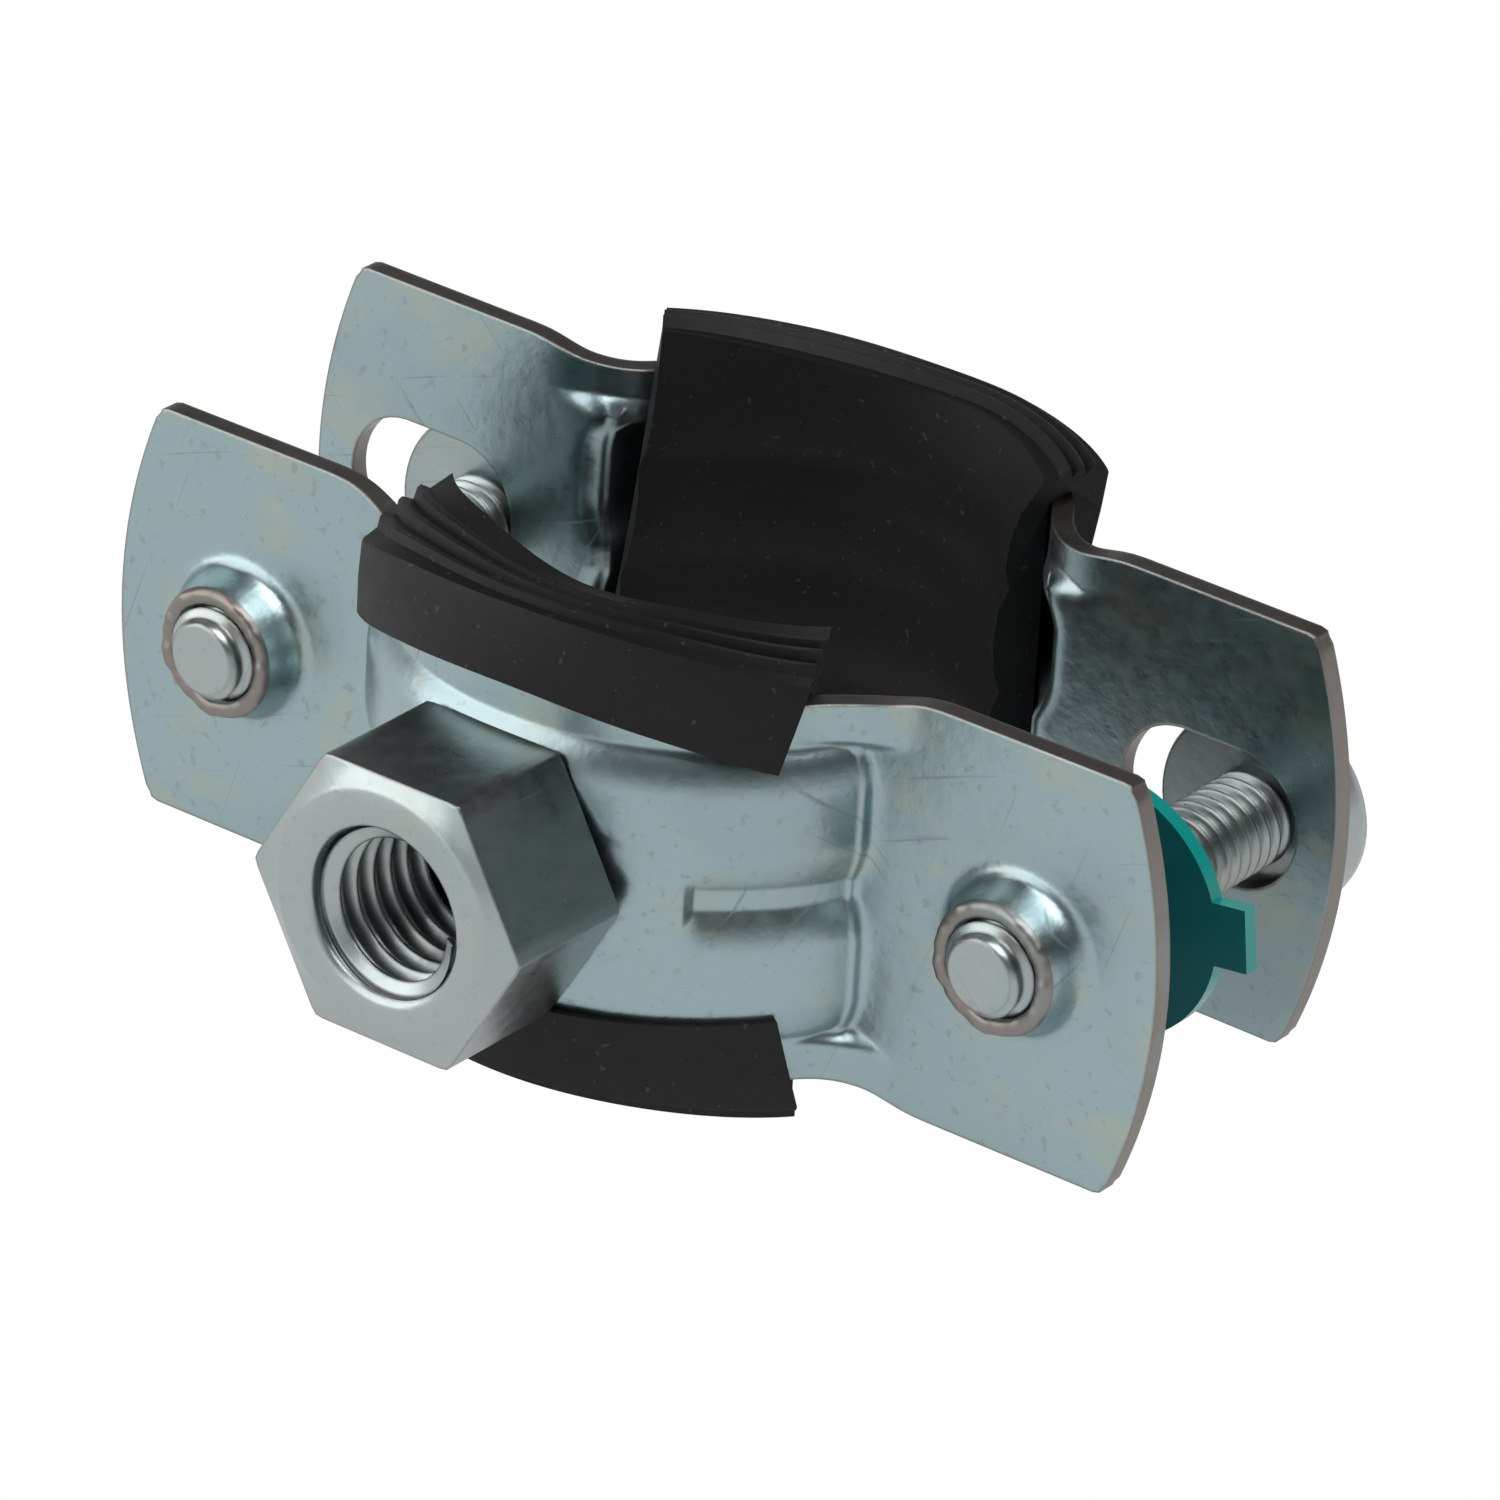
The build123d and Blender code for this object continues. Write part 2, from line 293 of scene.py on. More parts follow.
# %% Put the materials on the solids
finishes = {
    "front_band": sheet_zinc,
    "rear_band": sheet_zinc,
    "connection_nut": bright_zinc,
    "left_screw": bright_zinc,
    "right_screw": bright_zinc,
    "front_lining": rubber_data,
    "rear_lining": rubber_data,
    "left_retaining_washer": teal_data,
    "right_retaining_washer": teal_data,
}
for node, material in finishes.items():
    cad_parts[node].data.materials.clear()
    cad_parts[node].data.materials.append(material)
print(len(finishes), "solids finished")

# %% [markdown]
# ## From a sketch to a piece
# Each new piece is drawn in a bmesh, Blender's editable mesh. The helper below
# merges doubles, turns the faces outward, smooths them, and hangs the piece on
# the body that it moves with, in place of the solid it stands for. Two more draw
# a row of edges, and extrude edges and sort what comes back.

# %% Finish a piece
def piece(sketch, name, material, body, slot, *stands_for, sharp=35):
    bmesh.ops.remove_doubles(sketch, verts=sketch.verts, dist=1e-7)
    bmesh.ops.recalc_face_normals(sketch, faces=sketch.faces)
    mesh = bpy.data.meshes.new(name)
    sketch.to_mesh(mesh)
    sketch.free()
    mesh.shade_smooth()
    mesh.set_sharp_from_angle(angle=radians(sharp))
    mesh.materials.append(material)
    made = bpy.data.objects.new(name, mesh)
    scene.collection.objects.link(made)
    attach(made, body)
    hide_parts(*stands_for)
    print(name, len(mesh.polygons), "faces")
    return made


def outline_edges(sketch, points, closed=True):
    """Vertices joined in a row, and in a ring if it is closed."""
    verts = [sketch.verts.new(point) for point in points]
    ends = verts[1:] + verts[:1] if closed else verts[1:]
    return [sketch.edges.new(pair) for pair in zip(verts, ends)]


def grow(sketch, edges):
    """Extrude edges; gives the new vertices and the new edges."""
    grown = bmesh.ops.extrude_edge_only(sketch, edges=edges)["geom"]
    verts = [part for part in grown if isinstance(part, bmesh.types.BMVert)]
    return verts, [part for part in grown if isinstance(part, bmesh.types.BMEdge)]


# %% [markdown]
# ## A screw thread
# A thread is one tooth drawn along a screw's length and spun round its axis while
# it moves on by one pitch a turn. Spin does exactly that when it is given a step
# along the axis, and without the step it is a lathe. The shank is then cut flat
# at its two ends.

# %% Spin a thread
def spin_thread(sketch, axis_x, start_y, turns, pitch, root, crest, steps):
    """Helical tooth round the line x = axis_x, z = 0, advancing toward +Y."""
    tooth = (
        (0.0, root), (0.14, root), (0.44, crest), (0.56, crest), (0.86, root), (1.0, root),
    )
    points = [(axis_x + radius, start_y + share * pitch, 0) for share, radius in tooth]
    edges = outline_edges(sketch, points, closed=False)
    bmesh.ops.spin(
        sketch, geom=edges + list({v for e in edges for v in e.verts}),
        cent=(axis_x, start_y, 0), axis=(0, 1, 0), dvec=(0, pitch / steps, 0),
        angle=2 * pi * turns, steps=round(steps * turns), use_merge=False, use_duplicate=False,
    )
    bmesh.ops.remove_doubles(sketch, verts=sketch.verts, dist=2e-6)


def cut_flat(sketch, y, keep_beyond, close):
    """Cut the sketch at a height y, and close the cut if that is asked."""
    cut = bmesh.ops.bisect_plane(
        sketch, geom=[*sketch.verts, *sketch.edges, *sketch.faces], dist=1e-8,
        plane_co=(0, y, 0), plane_no=(0, 1, 0),
        clear_inner=keep_beyond, clear_outer=not keep_beyond,
    )
    if close:
        rim = [part for part in cut["geom_cut"] if isinstance(part, bmesh.types.BMEdge)]
        bmesh.ops.triangle_fill(sketch, use_beauty=True, edges=rim)


def lathe(sketch, axis_x, profile, steps):
    """Spin (radius, y) points in mm round the line x = axis_x, z = 0."""
    points = [(axis_x + radius * MM, y * MM, 0) for radius, y in profile]
    edges = outline_edges(sketch, points, closed=False)
    bmesh.ops.spin(
        sketch, geom=edges + list({v for e in edges for v in e.verts}),
        cent=(axis_x, 0, 0), axis=(0, 1, 0), angle=2 * pi, steps=steps,
        use_merge=True, use_duplicate=False,
    )


# %% [markdown]
# ## The screws
# Rolled M6 threads run from under the head to the tip. The tip is chamfered, so
# the last turns of the thread fade into a flat end a little smaller than the
# root: every point outside a cone at the tip is pulled in to it. The head is a
# low pan with a cross recess, whose walls lean inward as they go down.

# %% Screws
screw_x = 28.5 * MM
head_seat = 16.1 * MM
head_top = 19.7 * MM
tip_y = -10.5 * MM
tip_radius, tip_slope = 2.18 * MM, 0.95
m6 = {"pitch": 1.0 * MM, "root": 2.42 * MM, "crest": 2.96 * MM}
pan_head = (
    (2.4, 16.1), (6.3, 16.1), (6.45, 16.3), (6.45, 18.0),
    (6.3, 18.7), (5.8, 19.25), (4.9, 19.6), (3.3, 19.7),
)
cross_reach, cross_half_width = 3.0 * MM, 0.65 * MM
cross_depth, cross_taper = 1.9 * MM, 0.6


def taper_tip(sketch, axis_x):
    """Pull the thread in to a cone at the tip."""
    for vert in sketch.verts:
        out = Vector((vert.co.x - axis_x, vert.co.z))
        most = tip_radius + (vert.co.y - tip_y) * tip_slope
        if out.length > most:
            out *= most / out.length
            vert.co.x, vert.co.z = axis_x + out.x, out.y


def cut_cross(sketch, axis_x):
    """Fill the head's flat top round a cross, and sink the cross in it."""
    circle = [
        e for e in sketch.edges
        if e.is_boundary and all(abs(v.co.y - head_top) < 1e-6 for v in e.verts)
    ]
    corners = [
        (cross_reach, cross_half_width), (cross_half_width, cross_half_width),
        (cross_half_width, cross_reach),
    ]
    for _ in range(3):
        corners += [(-b, a) for a, b in corners[-3:]]
    cross = outline_edges(sketch, [(axis_x + a, head_top, b) for a, b in corners])
    bmesh.ops.triangle_fill(sketch, use_beauty=True, edges=circle + cross)
    verts, edges = grow(sketch, cross)
    for vert in verts:
        across = (vert.co.x - axis_x) * cross_taper
        vert.co = (axis_x + across, head_top - cross_depth, vert.co.z * cross_taper)
    bmesh.ops.edgeloop_fill(sketch, edges=edges)


for side, node in ((-1, "left_screw"), (1, "right_screw")):
    sketch = bmesh.new()
    axis_x = side * screw_x
    spin_thread(sketch, axis_x, tip_y - 1.2 * MM, turns=28.5, steps=40, **m6)
    cut_flat(sketch, head_seat, keep_beyond=False, close=False)
    cut_flat(sketch, tip_y, keep_beyond=True, close=True)
    taper_tip(sketch, axis_x)
    lathe(sketch, axis_x, pan_head, steps=64)
    cut_cross(sketch, axis_x)
    piece(sketch, node + "_thread", bright_zinc, node, "zinc_plated_screw", node)

# %% [markdown]
# ## The connection nut
# The nut's outside is a turned profile pressed to a hexagon: the profile is spun,
# and then every point further out than the hexagon is moved in to it. Its face
# falls away slightly outside a flat ring. The M10 thread is spun like the screws'
# and stands inside the mouth, with its crests toward the axis.

# %% Nut
nut_flats = 16.8 * MM
nut_shift = Vector((-0.35, -0.5, 0.15)) * MM
thread_x, thread_start = -0.3 * MM, -28.0 * MM
m10 = {"pitch": 1.5 * MM, "root": 5.05 * MM, "crest": 4.19 * MM}
blank_radius = 9.6
nut_profile = (
    (5.0, -26.3), (5.25, -27.25), (5.5, -27.45), (5.8, -27.5), (7.45, -27.5), (7.62, -27.44),
    (7.8, -27.34), (blank_radius, -27.0), (blank_radius, -26.7), (blank_radius, -26.0),
    (blank_radius, -18.0),
)


def hexagon_radius(angle):
    """Distance from the axis to the nut's hexagon, which has corners on the X axis."""
    turned = (angle + pi / 6) % (pi / 3) - pi / 6
    return nut_flats / 2 / cos(abs(turned) - pi / 6)


nut = bmesh.new()
lathe(nut, 0, nut_profile, steps=120)
for vert in nut.verts:
    out = Vector((vert.co.x, vert.co.z))
    edge = hexagon_radius(atan2(out.y, out.x))
    if out.length > edge:
        vert.co.x, vert.co.z = out.x * edge / out.length, out.y * edge / out.length
    vert.co += nut_shift
spin_thread(nut, thread_x, thread_start, turns=6.6, steps=64, **m10)
piece(nut, "connection_nut_thread", bright_zinc, "front_half", "zinc_plated_nut", "connection_nut")

# %% [markdown]
# ## The two bands
# A band is one strip of sheet, stamped and then pressed. Two dies give it a
# double-lobed cushion round the ring, and the ears are bent off its ends. It is
# modelled the same way: a grid of stations along the strip and rows across it
# takes the shape of the outer face, holes are opened in it, and only then is it
# given its thickness. The margins leave the ring early in a wide bend, and the
# cushion runs on and ends in a small step, so each row is a blend of two paths.

# %% Sizes of the pressed sheet, in mm and degrees
sheet = 1.3
ring_radius = 18
# The cushion across the strip: two lobes with a groove between them.
cushion_end = 66.4
crest = 1.1
lobe_rim, lobe_shoulder, groove_side = 9.4, 6.6, 3.3
groove_floor, groove_flat = 0.2, 0.6
groove_fade = 0.8
press_power = 1.7
# Small bumps on the lobes, one on each side of the strip's middle station.
bump_height, bump_turn, bump_rise, bump_spread = 4.1, 24.5, 0.22, 0.16
bump_radius, bump_base = 19, 2.718
# The margins: how far they follow the ring, then the wide bend to the ear.
margin_turn = 56.77
bend_radius, bend_x, bend_y = 7, 20.91, -13.7
margin_height, margin_share = 9.6, 0.727
margin_only, cushion_only = 9.9, 8.7
# The ears, with a bowed end and round corners.
ear_y = -6.7
ear_half_height = 13.0
ear_end, ear_bow = 35.3, 2.6
widen_from, even_from, ear_from = 16.0, 18.5, 23.0
corner_x, corner_z, corner_radius = 34.85, 12.55, 0.45
# Heights of the rows of points over the middle of the strip.
row_heights = (
    0, 0.3, 0.56, 0.64, 0.8, 1.15, 1.6, 2.1, 2.6, 3.1, 3.6,
    3.85, 4.1, 4.35, 4.8, 5.5, 6.1, 6.7, 7.2, 7.7, 8.2, 8.6,
    8.95, 9.2, 9.34, 9.42, 9.6, 9.9, 10.4, 11.0, 11.7, 12.3, 12.9,
)
# From the end of the cushion to the ear, as (mm outward, share of the way down to it).
lobe_end = (
    (0.0, 0.0), (0.10, 0.05), (0.24, 0.16), (0.31, 0.33), (0.36, 0.58),
    (0.45, 0.80), (0.62, 0.94), (0.95, 1.0), (2.2, 1.0),
)
print(len(row_heights), "rows on each side of the middle")


# %% Shape of a band's outer face
def ease(start, end, value):
    """Smooth step from 0 at start to 1 at end."""
    share = min(max((value - start) / (end - start), 0.0), 1.0)
    return share * share * (3 - 2 * share)


def cushion(height, turn, groove_start):
    """How far the pressed cushion stands out of the ring."""
    height = abs(height)
    if height >= lobe_rim:
        return 0.0
    if height >= lobe_shoulder:
        fall = (height - lobe_shoulder) / (lobe_rim - lobe_shoulder)
        return crest * (1 - fall**press_power)
    if height >= groove_side:
        round_ring = (turn - bump_turn) / 180 * pi * bump_radius
        off = (height - bump_height) ** 2 + round_ring**2
        return crest + bump_rise * bump_base ** (-off / bump_spread)
    floor = groove_floor
    if height > groove_flat:
        fall = (groove_side - height) / (groove_side - groove_flat)
        floor = groove_floor + (crest - groove_floor) * (1 - fall**press_power)
    pressed = ease(groove_start - groove_fade, groove_start + groove_fade, turn)
    return crest + (floor - crest) * pressed


def margin_path(step):
    """Plan of the strip at its margins: ring, wide bend, ear."""
    if step <= 1:
        turn = radians(margin_turn * step)
        return ring_radius * sin(turn), -ring_radius * cos(turn)
    turn = radians(margin_turn * (2 - step))
    return bend_x - bend_radius * sin(turn), bend_y + bend_radius * cos(turn)


def cushion_path(step, height, groove_start):
    """Plan of the strip over the cushion: ring, small step, ear."""
    if step <= 1:
        turn = cushion_end * step
        radius = ring_radius + cushion(height, turn, groove_start)
        return radius * sin(radians(turn)), -radius * cos(radians(turn))
    x, y = cushion_path(1, height, groove_start)
    spot = (step - 1) * (len(lobe_end) - 1)
    low = min(int(spot), len(lobe_end) - 2)
    share = spot - low
    out = lobe_end[low][0] + (lobe_end[low + 1][0] - lobe_end[low][0]) * share
    fall = lobe_end[low][1] + (lobe_end[low + 1][1] - lobe_end[low][1]) * share
    return x + out, y + (ear_y - y) * fall


def band_point(step, row, groove_start):
    """Point of the outer face at a station (0 middle, 1 ring end, 2 ear, 3 tip)."""
    side = 1 if row >= 0 else -1
    ring_height = row_heights[abs(row)]
    even_height = ear_half_height * abs(row) / (len(row_heights) - 1)
    if step <= 2:
        margin = margin_path(step)
        pressed = cushion_path(step, ring_height, groove_start)
        blend = ease(margin_only, cushion_only, ring_height)
        x = margin[0] + (pressed[0] - margin[0]) * blend
        y = margin[1] + (pressed[1] - margin[1]) * blend
    else:
        start = band_point(2, row, groove_start)[0]
        bow = ear_end + ear_bow * (1 - (even_height / ear_half_height) ** 2)
        x, y = start + (bow - start) * (step - 2), ear_y
    # The margins are narrower over the ring, and widen to the full strip at the ears.
    if ring_height > margin_height:
        widening = margin_share + (1 - margin_share) * ease(widen_from, ear_from, x)
        ring_height = margin_height + (ring_height - margin_height) * widening
    height = ring_height + (even_height - ring_height) * ease(even_from, ear_from, x)
    over_x, over_z = x - corner_x, height - corner_z
    if over_x > 0 and over_z > 0:
        reach = (over_x**2 + over_z**2) ** 0.5
        pull = min(1.0, corner_radius / reach)
        x, height = corner_x + over_x * pull, corner_z + over_z * pull
    return x, y, side * height


# %% [markdown]
# ## Holes and collars
# The grid knows nothing of the holes, so the faces over a hole are deleted and the
# ragged border that they leave is run onto the hole's outline. The front ears are
# drawn out into collars as well, the way a punch tears through sheet: the rim is
# extruded ring by ring along a profile, and the torn lip is made uneven with a few
# sine waves of different lengths.

# %% Open the holes of a band
def slot_outline(angle, half_straight, radius):
    """Point of an oblong hole's outline in a direction from its middle."""
    c, s = cos(angle), sin(angle)
    if abs(s) > 1e-6 and radius * abs(c / s) <= half_straight:
        return c / abs(s) * radius, radius if s > 0 else -radius
    middle = half_straight if c > 0 else -half_straight
    along_ray = c * middle + sqrt(max((c * middle) ** 2 - middle**2 + radius**2, 0))
    return along_ray * c, along_ray * s


def open_hole(sketch, axis_x, half_straight, radius):
    """Delete the faces over a hole and run the border onto its outline."""
    def clearance(spot):
        dx, dz = abs(spot.x - axis_x), abs(spot.z)
        return Vector((max(dx - half_straight, 0), dz)).length

    cleared, near_hole = radius + 0.75, radius + 2.5
    doomed = [f for f in sketch.faces if clearance(f.calc_center_median()) < cleared]
    bmesh.ops.delete(sketch, geom=doomed, context="FACES")
    border = [
        e for e in sketch.edges
        if e.is_boundary and clearance(e.verts[0].co) < near_hole
    ]
    verts, _ = grow(sketch, border)
    for vert in verts:
        u, v = slot_outline(atan2(vert.co.z, vert.co.x - axis_x), half_straight, radius)
        vert.co.x, vert.co.z = axis_x + u, v
    bmesh.ops.remove_doubles(sketch, verts=verts, dist=0.04)


# Collar drawn out of a front ear, as (radius, y), from its foot over the lip to the
# inner face.
collar_foot = 5.6
collar = (
    (collar_foot, -6.70), (5.2, -6.76), (4.86, -6.96), (4.62, -7.32), (4.45, -7.85),
    (4.28, -8.45), (4.12, -9.05), (3.98, -9.38), (3.80, -9.50), (3.30, -9.50),
    (3.10, -9.38), (3.02, -9.10), (3.02, -6.30), (3.15, -5.90), (3.45, -5.60),
    (3.9, -5.44), (collar_foot, -5.40),
)
lip_rings = range(6, 10)
torn_outward, torn_forward = 0.3, 0.6


def ragged(turn, shift):
    """A wave round the lip; its share outward and forward makes the lip uneven."""
    return 0.10 * sin(5 * turn + shift) + 0.07 * sin(11 * turn + 1.0) + 0.05 * sin(23 * turn)


def draw_collar(sketch, axis_x):
    """Replace the rim of a round hole by a collar."""
    def off_foot(spot):
        return abs(Vector((spot.x - axis_x, spot.z)).length - collar_foot)

    rim = [f for f in sketch.faces if all(off_foot(v.co) < 0.02 for v in f.verts)]
    bmesh.ops.delete(sketch, geom=rim, context="FACES_KEEP_BOUNDARY")
    edges = [
        e for e in sketch.edges
        if e.is_boundary and off_foot(e.verts[0].co) < 0.05 and e.verts[0].co.y < -6.0
    ]
    for ring, (radius, y) in enumerate(collar[1:]):
        _, edges = grow(sketch, edges)
        for face in {face for edge in edges for face in edge.link_faces}:
            face.material_index = 1 if ring in lip_rings else 0
        for vert in {vert for edge in edges for vert in edge.verts}:
            turn = atan2(vert.co.z, vert.co.x - axis_x)
            torn = ragged(turn, axis_x) if ring in lip_rings else 0
            reach = radius + torn_outward * torn
            vert.co = (axis_x + reach * cos(turn), y - torn_forward * torn, reach * sin(turn))


# %% [markdown]
# ## From a face to sheet metal
# Only the outer face is drawn. The inner face is a copy of it, moved along each
# vertex's normal by the thickness of the sheet, and the rim joins the two. Where
# the sheet is curved the move is a little longer, so that the thickness stays even,
# with a limit in the sharpest creases. The rear half is the same strip turned
# round, shifted and slightly tilted, as loose screws let it hang.

# %% Make a band
# Number of stations along the ring, the bend and the ear.
station_counts = (40, 16, 24)
longest_move = 1.35


def band(name, node, body, place, groove_start, hole_x, half_straight, hole_radius, collars):
    sketch = bmesh.new()
    steps = [0.0] + [
        part + i / count for part, count in enumerate(station_counts) for i in range(1, count + 1)
    ]
    stations = [-step for step in steps[:0:-1]] + steps
    rows = range(1 - len(row_heights), len(row_heights))
    grid = []
    for station in stations:
        side = -1 if station < 0 else 1
        points = [band_point(abs(station), row, groove_start) for row in rows]
        grid.append([sketch.verts.new((side * x, y, z)) for x, y, z in points])
    for near, far in zip(grid, grid[1:]):
        for quad in zip(near, far, far[1:], near[1:]):
            sketch.faces.new(quad)
    for axis_x in (-hole_x, hole_x):
        open_hole(sketch, axis_x, half_straight, hole_radius)
    bmesh.ops.recalc_face_normals(sketch, faces=sketch.faces)
    if sum(face.normal.y for face in sketch.faces) > 0:
        bmesh.ops.reverse_faces(sketch, faces=sketch.faces)
    skin = set(sketch.faces)
    border = [e for e in sketch.edges if e.is_boundary]
    sketch.normal_update()
    inner = {}
    for vert in list(sketch.verts):
        move = min(longest_move, vert.calc_shell_factor())
        inner[vert] = sketch.verts.new(vert.co - vert.normal * sheet * move)
    for face in skin:
        sketch.faces.new([inner[vert] for vert in reversed(face.verts)])
    for edge in border:
        a, b = edge.verts
        sketch.faces.new((a, b, inner[b], inner[a])).material_index = 1
    if collars:
        for axis_x in (-hole_x, hole_x):
            draw_collar(sketch, axis_x)
    bmesh.ops.remove_doubles(sketch, verts=sketch.verts, dist=0.01)
    for vert in sketch.verts:
        vert.co = place(*vert.co)
    made = piece(sketch, name, sheet_zinc, body, "zinc_plated_sheet", node, sharp=40)
    made.data.materials.append(edge_zinc)


# %% The front band and the rear band
rear_x, rear_y, rear_z = -2.7, 9.4, 0.6
rear_tilt = radians(0.6)
rear_stretch = 1.025


def place_front(x, y, z):
    return Vector((x, y, z)) * MM


def place_rear(x, y, z):
    z = z * rear_stretch
    across = -x * cos(rear_tilt) + z * sin(rear_tilt)
    up = z * cos(rear_tilt) + x * sin(rear_tilt)
    return Vector((across + rear_x, rear_y - y, up + rear_z)) * MM


band(
    "front_band_sheet", "front_band", "front_half", place_front, groove_start=37.6,
    hole_x=28.5, half_straight=0, hole_radius=collar_foot, collars=True,
)
band(
    "rear_band_sheet", "rear_band", "rear_half", place_rear, groove_start=-1.0,
    hole_x=29.0, half_straight=1.95, hole_radius=4.25, collars=False,
)

# %% [markdown]
# ## The rubber linings
# A lining is an extruded channel, cut square and bent into its band. Bent this
# way its lips lean over the edges of the band and its sides rise and fan out at
# the ends, where nothing squeezes them. The section is drawn once as a ring of
# points, and extruded from station to station. At each one the corners of the
# section are read from short tables of how far out, how high and how far round
# they stand.

# %% Read a table of five stations smoothly
def along(keys, share):
    """Smooth curve through five values, at shares -1, -0.5, 0, 0.5 and 1."""
    spot = (share + 1) * 2
    index = min(int(spot), 3)
    t = spot - index
    k = [keys[min(max(index + step, 0), 4)] for step in (-1, 0, 1, 2)]
    if index == 0:
        k[0] = 2 * k[1] - k[2]
    if index == 3:
        k[3] = 2 * k[2] - k[1]
    linear = k[2] - k[0]
    square = 2 * k[0] - 5 * k[1] + 4 * k[2] - k[3]
    cube = 3 * k[1] - k[0] - 3 * k[2] + k[3]
    return 0.5 * (2 * k[1] + linear * t + square * t**2 + cube * t**3)


# %% [markdown]
# ## The lining's section
# The ring of points runs over the pad that touches the pipe, out along the ribs on
# top of the upper lip, down its outer side, back underneath it to the inside of the
# band, and the same way back over the lower lip.

# %% Draw the section
# Ribs along a lip's top, as (share of the way out, height over the chord in mm).
ribs = (
    (0.0, 0.0), (0.24, -0.05), (0.35, 0.62), (0.39, 0.60), (0.43, 0.0), (0.56, 0.72),
    (0.60, 0.68), (0.64, 0.0), (0.77, 0.58), (0.81, 0.54), (0.84, -0.05), (1.0, 0.0),
)
# Soft creases of the pad, as (height, how far out of the pad's own radius), in mm.
creases = (
    (-9.5, 0.0), (-8.4, 0.1), (-7.0, 0.5), (-5.6, 0.1), (-3.5, -0.1), (-1.2, 0.05),
    (0.2, 0.45), (1.6, 0.05), (3.5, -0.1), (5.6, 0.1), (7.0, 0.55), (8.4, 0.05),
    (10.0, -0.15), (12.0, -0.1),
)
pad_radius, pad_half_height = 14.0, 15
pad_flat, pad_fan = 6, 9.5
lip_thickness = 1.25
channel_half_height = 12.15
over_band, under_band = 18.1, 16.6


def lip_side(tables, share, sign):
    """Corners of one half of the section, from the pad out, as (round, radius, height)."""
    turn_in, radius_in, high_in, turn_out, radius_top, high_top, turn_low, radius_low, high_low = (
        along(keys, share) for keys in tables
    )
    swell = 0.8 + 0.2 * share**2
    rows = []
    for out, rise in ribs:
        rows.append((
            turn_in + (turn_out - turn_in) * out,
            radius_in + (radius_top - radius_in) * out,
            high_in + (high_top - high_in) * out + rise * swell,
        ))
    halfway = (turn_out + turn_low) / 2, (radius_top + radius_low) / 2, (high_top + high_low) / 2
    rows += [
        (turn_out, radius_top + 0.10, high_top - 0.25),
        (halfway[0], halfway[1] + 0.12, halfway[2]),
        (turn_low, radius_low, high_low),
        (turn_low, radius_low - lip_thickness, high_low + 0.05),
        (turn_low + (turn_in - turn_low) * 0.1, over_band, channel_half_height),
        (turn_low + (turn_in - turn_low) * 0.6, under_band, channel_half_height),
    ]
    return [(turn, radius, sign * height) for turn, radius, height in rows]


def pad_rows(upper, lower):
    """Pad surface between the two pad edges, with soft creases, from low to high."""
    turn_low, radius_low, _ = lower[0]
    turn_high, radius_high, _ = upper[0]
    rows = []
    for height, out in creases:
        edge = 0.0 if abs(height) < pad_flat else (abs(height) - pad_flat) / pad_fan
        near = radius_high if height > 0 else radius_low
        above = height + pad_half_height
        turn = turn_low + (turn_high - turn_low) * above / (2 * pad_half_height)
        rows.append((turn, pad_radius + out + (near - pad_radius) * edge**1.5, height))
    return rows


def section(upper_tables, lower_tables, share):
    upper = lip_side(upper_tables, share, 1)
    lower = lip_side(lower_tables, share, -1)
    return pad_rows(upper, lower) + upper + lower[::-1]


# %% [markdown]
# ## Extrude the section
# The first section is filled to close the end of the rubber. Its edges are then
# extruded once for every station, and the new points are put where that station's
# own section has them. Each line of a table below is one corner of the section:
# the edge of the pad, the top of the lip's outer side, and the foot of that side.
# It gives the turns in degrees, the radii and the heights, each at five stations
# from one end of the lining to the other.

# %% Make a lining
lining_steps = 56


def lining_piece(name, node, body, upper_tables, lower_tables, place):
    sketch = bmesh.new()
    rows = section(upper_tables, lower_tables, -1)
    edges = outline_edges(sketch, [place(*row) for row in rows])
    bmesh.ops.edgeloop_fill(sketch, edges=edges)
    for step in range(1, lining_steps + 1):
        rows = section(upper_tables, lower_tables, 2 * step / lining_steps - 1)
        verts, edges = grow(sketch, edges)
        for vert, row in zip(verts, rows):
            vert.co = place(*row)
    bmesh.ops.edgeloop_fill(sketch, edges=edges)
    piece(sketch, name, rubber_data, body, "black_rubber", node, sharp=40)


# %% Front lining
def front_place(turn, radius, height):
    return Vector((radius * sin(radians(turn)), -radius * cos(radians(turn)), height)) * MM


front_upper = (
    (-56, -28, 4, 35, 65), (14.6, 13.7, 12.9, 13.5, 15.6), (16.9, 17.5, 16.1, 15.95, 15.5),
    (-46, -22, 4, 30, 56.3), (19.6, 19.1, 18.8, 18.7, 18.9), (14.0, 16.1, 16.7, 15.8, 13.7),
    (-47, -21, 4, 29, 51.2), (19.8, 19.5, 19.4, 19.4, 19.4), (9.1, 11.3, 12.0, 10.7, 8.5),
)
front_lower = (
    (-62, -31, 0, 31, 62), (15.6, 14.2, 13.6, 14.2, 15.2), (15.3, 14.9, 14.7, 14.9, 15.0),
    (-54, -27, 0, 28, 58.3), (19.0, 18.8, 18.8, 18.9, 19.1), (13.7, 13.2, 12.9, 12.85, 13.4),
    (-53, -27, 0, 27, 53.5), (19.4, 19.4, 19.4, 19.4, 19.4), (8.4, 8.0, 7.9, 7.6, 7.3),
)
lining_piece(
    "front_lining_rubber", "front_lining", "front_half", front_upper, front_lower, front_place,
)

# %% Rear lining
# The rear half's tilt, as the height that it loses for each mm across.
rear_lean = 0.0105


def rear_place(turn, radius, height):
    turned = radians(180 + turn)
    across = radius * sin(turned)
    behind = -radius * cos(turned) + rear_y
    return Vector((across + rear_x, behind, height + rear_z - across * rear_lean)) * MM


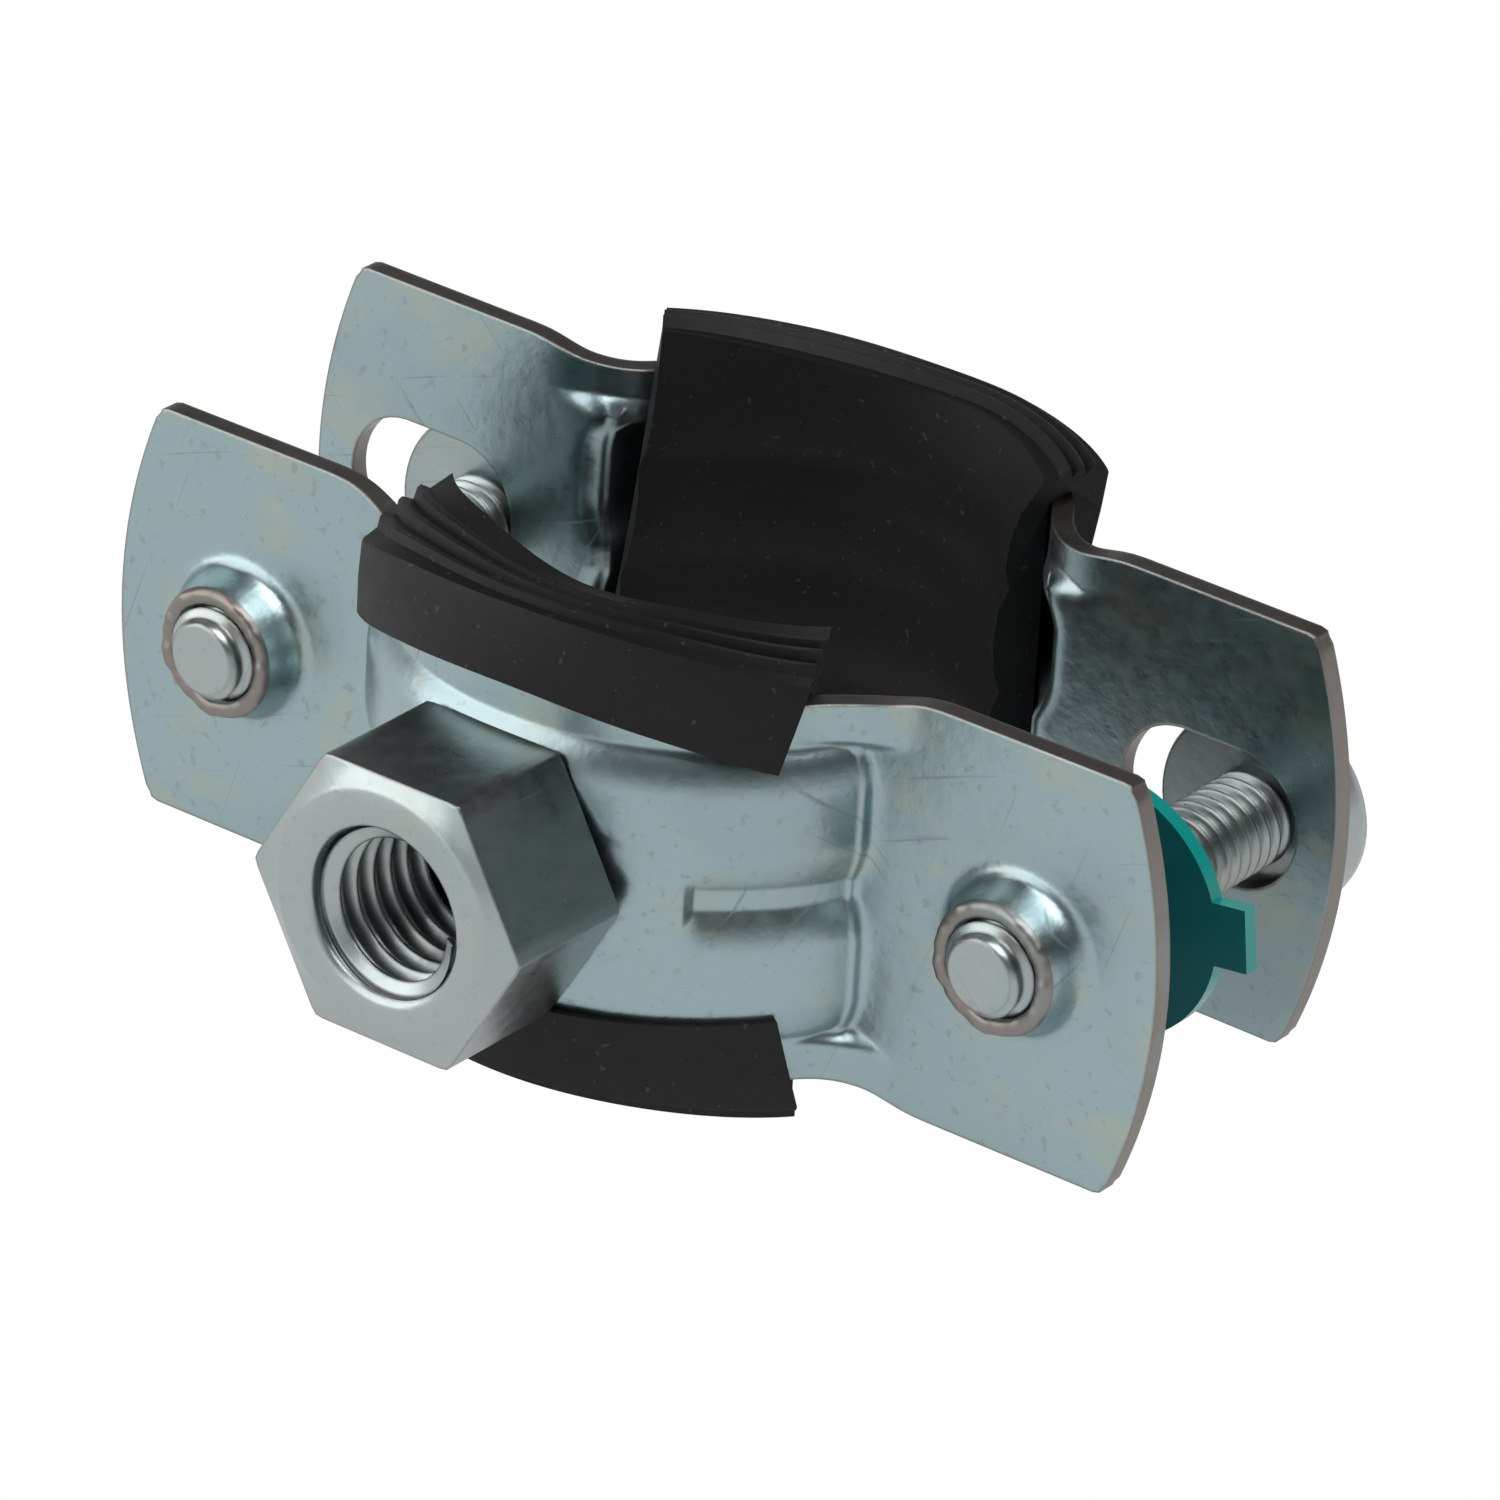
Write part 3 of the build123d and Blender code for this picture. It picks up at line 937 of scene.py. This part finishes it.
rear_upper = (
    (-56, -27, 4, 33, 63), (16.2, 14.9, 14.0, 13.7, 14.6), (14.2, 14.4, 14.0, 14.6, 15.9),
    (-45, -20, 4, 29, 55), (20.2, 19.4, 19.2, 19.2, 19.4), (13.6, 13.5, 13.3, 13.9, 14.7),
    (-45, -20, 4, 29, 56), (19.6, 19.4, 19.4, 19.4, 19.4), (8.4, 8.6, 8.7, 8.6, 8.4),
)
rear_lower = (
    (-54, -27, 6, 40, 80), (15.6, 14.5, 14.0, 14.2, 15.0), (15.2, 14.6, 14.4, 14.6, 15.4),
    (-44, -20, 4, 31, 62), (19.2, 19.0, 18.9, 19.0, 19.2), (13.2, 13.4, 13.4, 13.4, 13.8),
    (-44, -20, 4, 31, 62), (19.4, 19.4, 19.4, 19.4, 19.4), (8.4, 8.6, 8.7, 8.6, 8.4),
)
lining_piece(
    "rear_lining_rubber", "rear_lining", "rear_half", rear_upper, rear_lower, rear_place,
)

# %% [markdown]
# ## The studio
# A pale floor under the object, a white world for the camera, and two large soft
# lamps. Metal shows what stands round it, so the world that it reflects is not
# evenly white: it is bright along the horizon and dark overhead.

# %% World
world = bpy.data.worlds.new("studio")
scene.world = world
world.use_nodes = True
nodes, links = world.node_tree.nodes, world.node_tree.links
sky = nodes["Background"]
sky.inputs["Color"].default_value = (1, 1, 1, 1)
path = nodes.new("ShaderNodeLightPath")
seen_white = nodes.new("ShaderNodeMath")
seen_white.operation = "MAXIMUM"
links.new(path.outputs["Is Camera Ray"], seen_white.inputs[0])
links.new(path.outputs["Is Transmission Ray"], seen_white.inputs[1])
direction = nodes.new("ShaderNodeTexCoord")
parts = nodes.new("ShaderNodeSeparateXYZ")
links.new(direction.outputs["Generated"], parts.inputs[0])
horizon = nodes.new("ShaderNodeMapRange")
horizon.interpolation_type = "SMOOTHSTEP"
fade = {"From Min": 0.08, "From Max": 0.30, "To Min": 0.65, "To Max": 0.10}
for name, value in fade.items():
    horizon.inputs[name].default_value = value
links.new(parts.outputs[2], horizon.inputs["Value"])
level = nodes.new("ShaderNodeMapRange")
links.new(horizon.outputs[0], level.inputs["To Min"])
links.new(seen_white.outputs[0], level.inputs["Value"])
links.new(level.outputs[0], sky.inputs["Strength"])
print("world fades from", fade["To Min"], "at the horizon to", fade["To Max"], "overhead")

# %% [markdown]
# ## The floor
# The floor is a sheet of paper at the clamp's lowest point. The camera sees it
# plain white, as in a catalogue. Everything else sees paper that partly glows and
# is partly lit, and that fills the shaded undersides with light. It is the stage
# and no part of the object.

# %% Floor
floor = bpy.data.meshes.new("floor")
sketch = bmesh.new()
bmesh.ops.create_grid(sketch, x_segments=1, y_segments=1, size=2.0)
bmesh.ops.translate(sketch, vec=(0, 0, cad_box[0].z), verts=sketch.verts)
sketch.to_mesh(floor)
sketch.free()
floor_object = bpy.data.objects.new("floor", floor)
scene.collection.objects.link(floor_object)
paper = Material("floor_paper")
seen = paper.node("ShaderNodeLightPath")
glow = paper.node("ShaderNodeEmission", {}, out=0, Color=(1, 1, 1, 1), Strength=1.0)
plain = paper.node("ShaderNodeBsdfDiffuse", {}, out=0, Color=(0.85, 0.85, 0.85, 1))
blend = paper.node("ShaderNodeMixShader", {}, seen[0] * 0.6 + 0.40, plain, glow, out=0)
paper.feed(paper.tree.nodes["Material Output"].inputs["Surface"], blend)
floor.materials.append(paper.data)
print("floor at z =", cad_box[0].z)

# %% [markdown]
# ## The lamps
# Two softboxes light the clamp: one stands in front of it on the left, and one
# hangs overhead. Both are large for such a small object, so the highlights have
# soft edges.

# %% Lamps
def softbox(name, place, size, power):
    lamp = bpy.data.objects.new(name, bpy.data.lights.new(name, "AREA"))
    lamp.data.size = size
    lamp.data.energy = power
    lamp.location = place
    lamp.rotation_mode = "QUATERNION"
    lamp.rotation_quaternion = (-lamp.location).to_track_quat("-Z", "Y")
    scene.collection.objects.link(lamp)
    print(name, power, "W")


softbox("left_softbox", Vector((-0.55, -0.60, 0.34)), size=1.0, power=6.5)
softbox("top_softbox", Vector((0.25, -0.15, 0.85)), size=0.7, power=6.5)
scene.view_settings.view_transform = "Standard"
